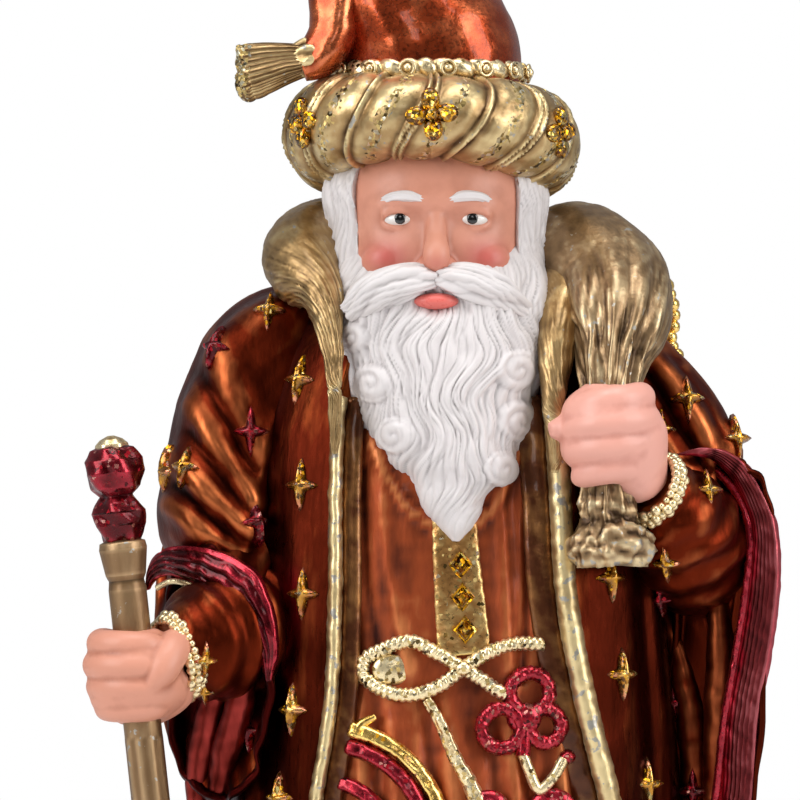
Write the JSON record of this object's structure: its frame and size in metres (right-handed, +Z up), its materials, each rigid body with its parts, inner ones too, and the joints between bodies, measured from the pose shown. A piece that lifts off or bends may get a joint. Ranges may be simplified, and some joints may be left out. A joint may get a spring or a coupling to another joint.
{
  "type": "santa claus figurine",
  "caption": "Standing Father Christmas figurine in a long open coat and soft cap, a sack over one shoulder and a staff in the other hand, cast on a low oval base.",
  "frame": {"origin": "centre of the oval base's underside", "axes": "+Z up, -Y towards the viewer that the face looks at, +X to that viewer's right"},
  "size_m": [0.0754, 0.0575, 0.1506],
  "materials": {
    "painted_resin": "cast resin under metallic red-brown, copper and gold lacquers with matt painted hair and face",
    "gold_staff": "antique gold lacquer with a crimson finial"
  },
  "bodies": {
    "root": {"figure": "painted_resin", "staff": "gold_staff"}
  },
  "joints": []
}
